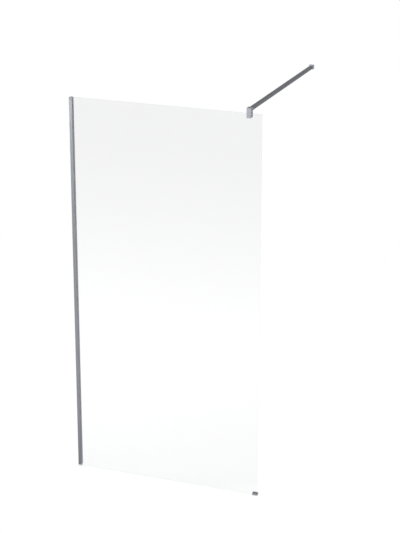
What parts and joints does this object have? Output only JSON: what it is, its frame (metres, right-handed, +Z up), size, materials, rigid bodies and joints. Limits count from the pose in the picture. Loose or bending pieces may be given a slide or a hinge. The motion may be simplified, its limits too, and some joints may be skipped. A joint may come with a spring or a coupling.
{
  "type": "walk-in shower screen",
  "caption": "Fixed walk-in shower screen: a clear glass panel in a slim wall channel, with a low foot under its free corner and a square bar that braces its top to the opposite wall.",
  "frame": {"origin": "on the floor at the wall, in the middle of the glass's thickness, under the wall channel", "axes": "+X from the wall along the glass to its free edge, +Y from the glass along the bar to the opposite wall, +Z up"},
  "size_m": [1, 1.014, 2.031],
  "materials": {
    "polished_aluminium": "polished, bright anodised",
    "chrome": "satin-bright chrome plate",
    "clear_glass": "clear, polished edges",
    "grey_seal": "matt grey seal",
    "clear_plastic": "clear soft plastic",
    "steel": "plain stainless steel",
    "adhesive": "thin adhesive pad"
  },
  "bodies": {
    "wall_frame": {"wall_channel": "polished_aluminium", "channel_top_cap": "chrome", "channel_bottom_plug": "clear_plastic", "channel_set_screws": "steel"},
    "panel": {"glazing_channel": "polished_aluminium", "front_gasket": "grey_seal", "rear_gasket": "grey_seal", "glass_edge_packers": "clear_plastic", "glass_panel": "clear_glass", "foot_block": "chrome", "foot_liner": "grey_seal", "foot_grub_screw": "steel", "foot_adhesive_pad": "adhesive"},
    "brace": {"clamp_body": "chrome", "clamp_front_pad": "clear_plastic", "clamp_rear_pad": "clear_plastic", "clamp_top_pad": "clear_plastic", "clamp_pressure_plate": "steel", "clamp_grub_screws": "steel", "bar_grub_screw": "steel", "support_bar": "chrome"},
    "bar_socket": {"socket_base": "steel"},
    "socket_sleeve": {"socket_cover": "chrome", "cover_grub_screw": "steel"}
  },
  "joints": [
    {"name": "width_adjust", "type": "slide", "parent": "wall_frame", "child": "panel", "axis": [1, 0, 0], "range_m": [0, 0.005]},
    {"name": "brace_position", "type": "slide", "parent": "panel", "child": "brace", "axis": [1, 0, 0], "range_m": [-0.6, 0.045]},
    {"name": "wall_distance_adjust", "type": "slide", "parent": "brace", "child": "bar_socket", "axis": [0, 1, 0], "range_m": [-0.004, 0.006]},
    {"name": "cover_slide", "type": "slide", "parent": "brace", "child": "socket_sleeve", "axis": [0, 1, 0], "range_m": [-0.9, 0]}
  ]
}
